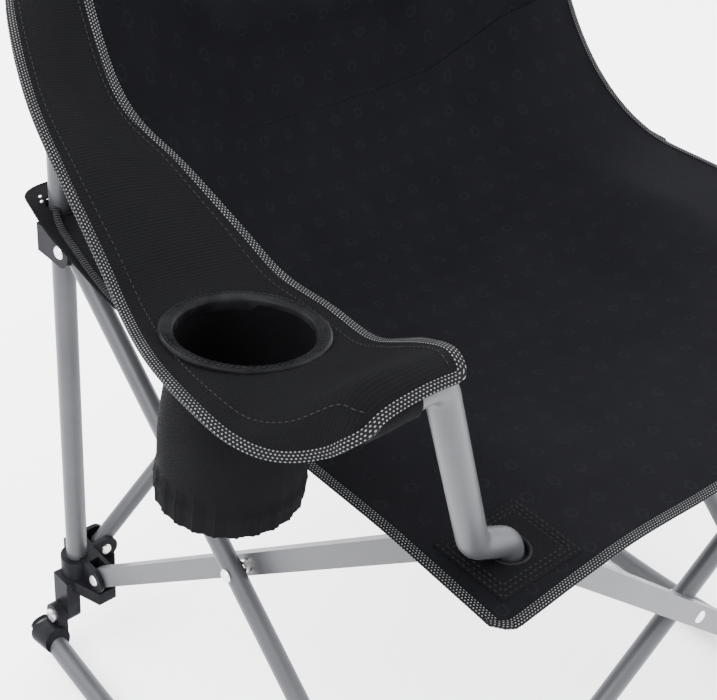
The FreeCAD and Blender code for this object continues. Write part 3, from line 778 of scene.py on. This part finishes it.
def small_rivet(base):
    """Domed rivet head on a cloth tab."""
    turns = 20
    rings = [(0.0015, 0.0), (0.0014, 0.0006), (0.0010, 0.0011), (0.0004, 0.0013)]
    vertices = []
    for radius, height in rings:
        vertices.extend(base + polar(radius, 2 * math.pi * k / turns, height) for k in range(turns))
    faces = []
    for ring in range(len(rings) - 1):
        faces.extend(ring_quads(ring * turns, (ring + 1) * turns, turns))
    faces.append(tuple(range((len(rings) - 1) * turns, len(rings) * turns)))
    faces.append(tuple(reversed(range(turns))))
    return mesh_object("rivet_head", vertices, faces, rivet_metal)


def surface_line(points):
    """Points dropped on the seat, with normals, from (x, y) pairs."""
    line = [Vector((x, y, seat_point(x / seat_side(y), y).z + sheet_thickness / 2)) for x, y in points]
    return line, [Vector((0, 0, 1))] * len(line)


def rectangle_path(cx, cy, half_x, half_y, steps=14):
    """Points (x, y) round a rectangle, closed, with that many steps to a side."""
    corners = [(-1, -1), (1, -1), (1, 1), (-1, 1), (-1, -1)]
    path = []
    for (ax, ay), (bx, by) in zip(corners, corners[1:]):
        for k in range(steps):
            t = k / steps
            path.append((cx + half_x * lerp(ax, bx, t), cy + half_y * lerp(ay, by, t)))
    path.append((cx - half_x, cy - half_y))
    return path


def front_corner_sewing():
    """Reinforcing patches round the front corner holes, with rows of ridged stitches."""
    parts = []
    rows = []
    half_x, half_y = 0.0345, 0.0285
    for side in (RIGHT, LEFT):
        cx, cy = side * (half_span - 0.001), FRONT * (half_span - 0.001)
        parts.append(corner_patch(cx, cy, half_x, half_y))
        for inset in (0.0018, 0.0052, 0.0086):
            path = rectangle_path(cx, cy, half_x - inset, half_y - inset)
            rows.append(lifted(surface_line(path), 0.0010))
    parts.append(stitches("stitches", rows))
    return parts


def lifted(line, rise):
    """A (points, normals) line raised by that much."""
    points, normals = line
    return [p + Vector((0, 0, rise)) for p in points], normals


def corner_patch(cx, cy, half_x, half_y):
    """Reinforcing patch on a seat corner with ridged seams and a round hole for the eyelet."""
    steps = 30
    grid = []
    for i in range(steps + 1):
        line = []
        for j in range(steps + 1):
            x = cx + half_x * (-1 + 2 * j / steps)
            y = cy + half_y * (-1 + 2 * i / steps)
            edge = min(half_x - abs(x - cx), half_y - abs(y - cy))
            ridge = 0.0002
            if edge < 0.0105:
                ridge = 0.0007 * (0.5 + 0.5 * math.cos(2 * math.pi * (edge - 0.0018) / 0.0034))
            if edge < 0.0006:
                ridge = -0.0004
            z = seat_point(x / seat_side(y), y).z + sheet_thickness / 2 + 0.0005 + ridge
            line.append(Vector((x, y, z)))
        grid.append(line)
    hole = (math.copysign(half_span, cx), math.copysign(half_span, cy), 0.0120)
    return sheet_object("patch", grid, 0.0008, plain_fabric, up_normals(grid), [hole])


# ---------------- back


def back_point(u, height):
    """A point of the back, u from side to side, at that share of its height above the swept-up rear."""
    low = bucket_point(u, math.pi / 2)
    z = lerp(low.z, back_top_z - 0.012 * (1 - u * u) * smooth_step((height - 0.6) / 0.4), height)
    shoulder = smooth_step((z - low.z) / max(0.02, back_sleeve_z - low.z))
    x = u * lerp(seat_side(bucket_side[1]), half_span, smooth_step((z - 0.583) / (back_sleeve_z - 0.583)))
    bow = back_bow * math.sin(math.pi * min(1.0, height * 1.04)) * (1 - u * u)
    y = lerp(low.y, back_edge_y, shoulder) + bow
    fade = math.exp(-(height / 0.22) ** 2)
    return Vector((x, y - gathered(x, fade) + gathered(low.x, 1.0), z))


def make_back():
    """The back's cloth and its trim, tucked in behind the seat's rear edge."""
    columns = sheet_columns
    across = [-1 + 2 * j / (columns - 1) for j in range(columns)]
    tucked = bucket_split - math.radians(6)
    grid = []
    for i in range(22):
        angle = lerp(tucked, math.pi / 2, i / 21)
        behind = 0.0022 * (1 - smooth_step((angle - bucket_split) / 0.25))
        line = [bucket_point(u, angle) for u in across]
        grid.append([p + Vector((0, behind * math.sin(angle), -behind * math.cos(angle))) for p in line])
    for i in range(1, 61):
        grid.append([back_point(u, i / 60) for u in across])
    rows = len(grid)
    normals = [[n if n.y < 0 else -n for n in line] for line in grid_normals(grid)]
    cloth = sheet_object("back_cloth", grid, sheet_thickness, seat_fabric, normals)
    parts = []
    lower = [i for i in range(rows) if grid[i][0].z < back_sleeve_z + 0.004]
    for side, j in ((RIGHT, 0), (LEFT, columns - 1)):
        edge = [grid[i][j] for i in lower]
        inward = [Vector((-side, 0, 0))] * len(edge)
        parts.append(edge_tape(edge, inward, [normals[i][j] for i in lower]))
    parts.append(edge_tape(grid[-1], [Vector((0, 0, -1))] * columns, normals[-1]))
    for side in (RIGHT, LEFT):
        parts.append(post_sleeve(side))
    upper = [i for i in range(rows) if grid[i][0].z > back_sleeve_z + 0.004]
    seams = []
    for j in (3, 5, columns - 4, columns - 6):
        points = [grid[i][j] + normals[i][j] * (sheet_thickness / 2) for i in upper]
        seams.append((points, [normals[i][j] for i in upper]))
    parts.append(stitches("stitches", seams))
    trim = joined("back_trim", parts)
    for piece in (cloth, trim):
        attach(piece, "rear_right_corner")
        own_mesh(piece)
    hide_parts("back_panel")
    return cloth, trim


def post_sleeve(side):
    """Cloth sleeve round a rear post, softly creased, with turned hems."""
    post = Vector((side * half_span, half_span, 0))
    turns, steps = 40, 60
    vertices = []
    faces = []
    uvs = []
    for i in range(steps + 1):
        z = lerp(back_sleeve_z, back_top_z, i / steps)
        for k in range(turns):
            angle = 2 * math.pi * k / turns
            pucker = 0.0005 * noise.noise(polar(2, angle, z * 26))
            hem = 0.0007 if min(z - back_sleeve_z, back_top_z - z) < 0.012 else 0.0
            vertices.append(post + polar(sleeve_radius + pucker + hem, angle, z))
    turn_length = 2 * math.pi * sleeve_radius / turns
    step_height = (back_top_z - back_sleeve_z) / steps
    for i in range(steps):
        faces.extend(ring_quads(i * turns, (i + 1) * turns, turns))
        for k in range(turns):
            for kk, ii in ((k, i), (k + 1, i), (k + 1, i + 1), (k, i + 1)):
                uvs.append((kk * turn_length, ii * step_height))
    for ring, z in ((0, back_sleeve_z), (steps, back_top_z)):
        faces.extend(ring_quads(ring * turns, len(vertices), turns))
        vertices.extend(post + polar(post_radius, 2 * math.pi * k / turns, z) for k in range(turns))
        uvs.extend([(0, 0)] * (4 * turns))
    return mesh_object("sleeve", vertices, faces, plain_fabric, uvs, sharpen=False)


# ---------------- arm slings


# An arm sling's cross-sections from rear to front, in metres: its inner edge and outer edge as (out from the
# frame's corner line, y, rise above the foot pivots), then how far its outer edge turns down.
SLING_ROWS = [
    ((0.0100, 0.2335, 0.700), (0.0110, 0.2335, 0.638), 0.000),
    ((0.043, 0.150, 0.636), (0.080, 0.152, 0.612), 0.000),
    ((0.0690, 0.062, 0.567), (0.1215, 0.067, 0.582), 0.000),
    ((0.0620, 0.005, 0.541), (0.1370, 0.0055, 0.556), 0.000),
    ((0.0510, -0.040, 0.513), (0.1425, -0.040, 0.526), 0.000),
    ((0.0475, -0.075, 0.498), (0.1505, -0.075, 0.511), 0.000),
    ((0.050, -0.120, 0.502), (0.1650, -0.120, 0.514), 0.000),
    ((0.0565, -0.162, 0.507), (0.1715, -0.162, 0.5165), 0.002),
    ((0.0620, -0.190, 0.523), (0.1690, -0.190, 0.513), 0.006),
    ((0.0740, -0.214, 0.542), (0.1620, -0.2145, 0.516), 0.018),
    ((0.0795, -0.236, 0.5545), (0.1515, -0.2350, 0.527), 0.031),
    ((0.0820, -0.246, 0.5555), (0.1480, -0.2455, 0.538), 0.018),
    ((0.0840, -0.252, 0.5520), (0.1420, -0.2520, 0.5455), 0.005),
]


def make_sling(side):
    """An arm sling, its bindings and stitching."""
    def place(out, y, rise):
        return Vector((side * (half_span + out), y, foot_pivot_z + rise + 0.0012))

    inner = catmull([place(*row[0]) for row in SLING_ROWS], 9)
    outer = catmull([place(*row[1]) for row in SLING_ROWS], 9)
    drops = catmull([Vector((row[2], 0, 0)) for row in SLING_ROWS], 9)
    columns = 49
    grid = []
    for a, b, drop in zip(inner, outer, drops):
        line = []
        for j in range(columns):
            s = j / (columns - 1)
            point = a.lerp(b, s)
            crown = 0.0024 * math.sin(math.pi * s) + max(0.0, drop.x) * (s - s ** 14)
            wrinkle = 0.0009 * noise.noise(Vector((point.x * 30, point.y * 22, 5.0)))
            line.append(point + Vector((0, 0, crown + wrinkle * math.sin(math.pi * s))))
        grid.append(line)
    normals = up_normals(grid)
    last = len(grid) - 1
    tag = SIDE_NAMES[side]
    holes = [(cup_centre.x, cup_centre.y, 0.0450)] if side == RIGHT else []
    cloth = sheet_object("arm_sling_cloth_" + tag, grid, double_cloth, arm_fabric, normals, holes)
    outer_edge = [(i, columns - 1) for i in range(last + 1)]
    front_edge = [(last, j) for j in range(columns - 2, 0, -1)]
    inner_edge = [(i, 0) for i in range(last, -1, -1)]
    bound = outer_edge + front_edge + inner_edge
    centre = grid[last // 2][columns // 2]
    outline = [grid[i][j] for i, j in bound]
    outline_normals = [normals[i][j] for i, j in bound]
    for _ in range(outline_rounds):
        outline = eased(outline)
        outline_normals = [normal.normalized() for normal in eased(outline_normals)]
    inward = inward_of(outline, outline_normals, centre)
    parts = [edge_tape(outline, inward, outline_normals, 0.0057)]
    rows = []
    for j in (4, columns - 5):
        kept = range(2, last - 4)
        rows.append(([grid[i][j] + normals[i][j] * 0.0011 for i in kept], [normals[i][j] for i in kept]))
    parts.append(stitches("stitches", rows))
    parts.append(nose_pocket(side))
    trim = joined("arm_sling_trim_" + tag, parts)
    for piece in (cloth, trim):
        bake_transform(piece)
    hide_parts("arm_sling_rear_" + tag, "arm_sling_front_" + tag)
    return cloth, trim


def eased(vectors):
    """The same row of vectors with each one drawn towards its neighbours; the ends stay."""
    middle = [(a + b * 2 + c) / 4 for a, b, c in zip(vectors, vectors[1:], vectors[2:])]
    return [vectors[0]] + middle + [vectors[-1]]


def inward_of(edge, normals, centre):
    """Unit vectors square to an edge, in the sheet, that point to its inside."""
    result = []
    for point, normal, along in zip(edge, normals, tangents(edge)):
        inward = normal.cross(along).normalized()
        if inward.dot(centre - point) < 0 and abs(inward.dot((centre - point).normalized())) > 0.05:
            inward = -inward
        result.append(inward)
    aligned = [result[0]]
    for vector in result[1:]:
        aligned.append(vector if vector.dot(aligned[-1]) > 0 else -vector)
    return aligned


def nose_pocket(side):
    """Cloth pocket under the sling's nose that the arm tube's tip slides into."""
    start = side * (half_span + 0.104)
    stop = side * (half_span + 0.140)
    turns, steps = 36, 14
    grid = []
    for i in range(steps + 1):
        x = lerp(start, stop, i / steps)
        line = []
        for k in range(turns + 1):
            angle = math.pi * 0.12 + 2 * math.pi * 0.93 * k / turns
            squeeze = 1.0 + 0.05 * noise.noise(Vector((x * 60, math.cos(angle), math.sin(angle))))
            radius = 0.0109 * squeeze
            y = -half_span + radius * math.sin(angle)
            line.append(Vector((x, y, arm_top_z + radius * math.cos(angle))))
        grid.append(line)
    return sheet_object("pocket", grid, 0.0014, plain_fabric)


# ---------------- cup holder


def cup_rise(across):
    """How far the sling's slope lifts the cup holder at an offset from its centre, fading with depth."""
    share = max(0.0, min(1.0, 1.0 + across.z / cup_depth))
    return cup_slope * (across.x + across.y) * share


def ring_surface(name, rings, turns, material, wobble):
    """Closed surface of revolution on the cup axis from (radius, height) pairs that form a loop."""
    vertices = []
    for k in range(turns):
        angle = 2 * math.pi * k / turns
        for radius, height in rings:
            lean = cup_lean * max(0.0, min(1.0, -height / cup_depth))
            across = polar(radius + wobble(angle, height), angle, height)
            vertices.append(cup_centre + lean + across + Vector((0, 0, cup_rise(across))))
    profile = around(rings)
    uvs = []
    for k in range(turns):
        for i in range(len(rings)):
            for kk, ii in ((k, i), (k + 1, i), (k + 1, i + 1), (k, i + 1)):
                uvs.append((kk * 2 * math.pi * cup_radius / turns, profile[ii]))
    return mesh_object(name, vertices, loop_quads(turns, len(rings)), material, uvs)


def pocket_wobble(angle, height):
    """How far the pocket's cloth stands off its round shape: soft dents, and gathers near its hem."""
    drop = max(0.0, min(1.0, -height / cup_depth))
    soft = 0.0022 * noise.noise(polar(1.4, angle, height * 16))
    hem = 0.0
    if drop > 0.80:
        hem = 0.00045 * math.sin(angle * 64) + 0.0006 * math.sin(angle * 23 + 1.0)
    return soft * math.sin(math.pi * min(1.0, drop * 0.9 + 0.05)) + hem


def rim_wobble(angle, height):
    """Small unevenness of the rim band, the same at every height."""
    return 0.0004 * noise.noise(polar(2, angle, 4.0))


def make_cup_pocket():
    """Hanging cloth pocket with a bulging wall, a gathered hem and a rounded bottom."""
    rings = []
    for k in range(27):
        t = k / 26
        bulge = 0.0400 + 0.0030 * t + 0.0016 * math.sin(math.pi * t)
        if t > 0.88:
            bulge += 0.0009 if t < 0.92 else 0.0004
        rings.append((bulge, -0.0012 - (cup_depth - 0.0012) * t))
    for k in range(1, 7):
        rings.append((0.0430 * (1 - k / 6) + 0.0004, -cup_depth + 0.004 * math.sin(math.pi * k / 12)))
    for k in range(5, -1, -1):
        height = -cup_depth + 0.0022 + 0.004 * math.sin(math.pi * k / 12)
        rings.append((0.0410 * (1 - k / 6) + 0.0003, height))
    for k in range(26, -1, -1):
        t = k / 26
        radius = 0.0384 + 0.0030 * t + 0.0016 * math.sin(math.pi * t)
        rings.append((radius, -0.0012 - (cup_depth - 0.006) * t))
    pocket = ring_surface("cup_pocket_cloth", rings, 150, pocket_fabric, pocket_wobble)
    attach(pocket, "sling_front_right")
    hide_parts("cup_pocket")


def make_cup_rim():
    """Stiff rim band of the drink holder with a ring of stitches."""
    band = [
        (0.0388, -0.0060), (0.0384, -0.0010), (0.0387, 0.0012), (0.0395, 0.0024), (0.0412, 0.0028),
        (0.0434, 0.0032), (0.0450, 0.0035), (0.0466, 0.0033), (0.0474, 0.0024), (0.0473, 0.0010),
        (0.0440, -0.0002), (0.0402, -0.0006), (0.0396, -0.0060),
    ]
    rim = ring_surface("cup_rim_band", band, 120, gloss_plastic, rim_wobble)
    path = []
    for k in range(121):
        across = polar(0.0446, 2 * math.pi * k / 120)
        path.append(cup_centre + across + Vector((0, 0, cup_rise(across) + 0.0036)))
    row = (path, [Vector((0, 0, 1))] * len(path))
    sewn = stitches("rim_stitches", [row], pitch=0.0034, length=0.0024, radius=0.0003)
    rim = joined("cup_rim_band", [rim, sewn])
    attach(rim, "sling_front_right")
    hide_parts("cup_rim")


# ---------------- eyelets


def make_eyelet(side, end):
    """Moulded eyelet in a seat corner, rounded over at its rim."""
    centre = Vector((side * half_span, end * half_span, seat_corner_z))
    section = [
        (0.0119, -0.0016), (0.0117, 0.0008), (0.0120, 0.0023), (0.0128, 0.0030), (0.0138, 0.0028),
        (0.0144, 0.0018), (0.0142, 0.0010), (0.0129, 0.0009), (0.0128, -0.0016),
    ]
    turns = 64
    vertices = []
    for k in range(turns):
        angle = 2 * math.pi * k / turns
        vertices.extend(centre + polar(radius, angle, height) for radius, height in section)
    faces = loop_quads(turns, len(section))
    place = END_NAMES[end] + "_" + SIDE_NAMES[side]
    piece = mesh_object("eyelet_" + place, vertices, faces, black_plastic)
    body = {
        (RIGHT, REAR): "rear_right_slider", (LEFT, REAR): "rear_left_slider",
        (RIGHT, FRONT): "front_right_upper", (LEFT, FRONT): "front_left_upper",
    }[(side, end)]
    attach(piece, body)
    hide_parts("seat_grommet_" + place)
    return piece


# ---------------- build


seat_rear, seat_rear_trim = make_seat_half(REAR)
seat_front, seat_front_trim = make_seat_half(FRONT)
back, back_trim = make_back()
slings = [make_sling(side) for side in (RIGHT, LEFT)]
make_cup_pocket()
make_cup_rim()
for corner_side in (RIGHT, LEFT):
    for corner_end in (REAR, FRONT):
        make_eyelet(corner_side, corner_end)


# ---------------- CAD nodes kept: finishes


def finish_for(name):
    """The material of a CAD node, from its name."""
    if any(word in name for word in ("rivet", "bolt", "pin")):
        return rivet_metal
    if any(word in name for word in ("hub", "cap", "clamp")):
        return black_plastic
    return tube_grey


for node_name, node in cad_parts.items():
    material = finish_for(node_name)
    if not node.material_slots:
        node.data.materials.append(material)
    for slot in node.material_slots:
        slot.material = material


# ---------------- studio


def area_light(name, location, target, size, power):
    """A soft rectangular light aimed at a target."""
    lamp = bpy.data.lights.new(name, "AREA")
    lamp.shape = "RECTANGLE"
    lamp.size = size[0]
    lamp.size_y = size[1]
    lamp.energy = power
    light = bpy.data.objects.new(name, lamp)
    light.location = location
    light.rotation_euler = (Vector(target) - Vector(location)).to_track_quat("-Z", "Y").to_euler()
    bpy.context.scene.collection.objects.link(light)
    return light


def make_studio():
    """Pale floor, white surroundings and three soft lights."""
    floor_mesh = bpy.data.meshes.new("floor")
    floor_mesh.from_pydata([(-8, -8, 0), (8, -8, 0), (8, 8, 0), (-8, 8, 0)], [], [(0, 1, 2, 3)])
    floor_material = Paint("floor_paint", (0.95, 0.95, 0.955), 0.8).material
    floor = add_object("floor", floor_mesh, floor_material, smooth=False)
    world = bpy.data.worlds.new("studio")
    world.use_nodes = True
    world.node_tree.nodes["Background"].inputs["Color"].default_value = (0.95, 0.96, 1.0, 1.0)
    world.node_tree.nodes["Background"].inputs["Strength"].default_value = 5.0
    bpy.context.scene.world = world
    area_light("key", (-1.6, -0.2, 2.6), (0, 0, 0.5), (1.8, 1.8), 150)
    area_light("fill", (1.8, -1.8, 1.8), (0, 0, 0.5), (2.0, 2.0), 60)
    area_light("rim", (0.6, 2.2, 1.8), (0, 0, 0.6), (1.6, 1.0), 60)


def make_camera():
    """Camera at the matching angle, looking down on the sitter's right arm."""
    data = bpy.data.cameras.new("camera")
    data.sensor_width = 36.0
    data.lens = 36.0 * 1467.1 / 717.0
    data.clip_start = 0.02
    camera = bpy.data.objects.new("camera", data)
    yaw, pitch, roll = math.radians(45.0), math.radians(35.5), math.radians(5.5)
    forward = Vector((math.sin(yaw) * math.cos(pitch), math.cos(yaw) * math.cos(pitch), -math.sin(pitch)))
    right = Vector((math.cos(yaw), -math.sin(yaw), 0.0))
    up = right.cross(forward)
    rolled_right = right * math.cos(roll) + up * math.sin(roll)
    rolled_up = up * math.cos(roll) - right * math.sin(roll)
    turn = Matrix((rolled_right, rolled_up, -forward)).transposed()
    camera.matrix_world = Matrix.Translation((-0.762, -0.622, 0.968 + foot_pivot_z)) @ turn.to_4x4()
    bpy.context.scene.collection.objects.link(camera)
    bpy.context.scene.camera = camera


make_studio()
make_camera()
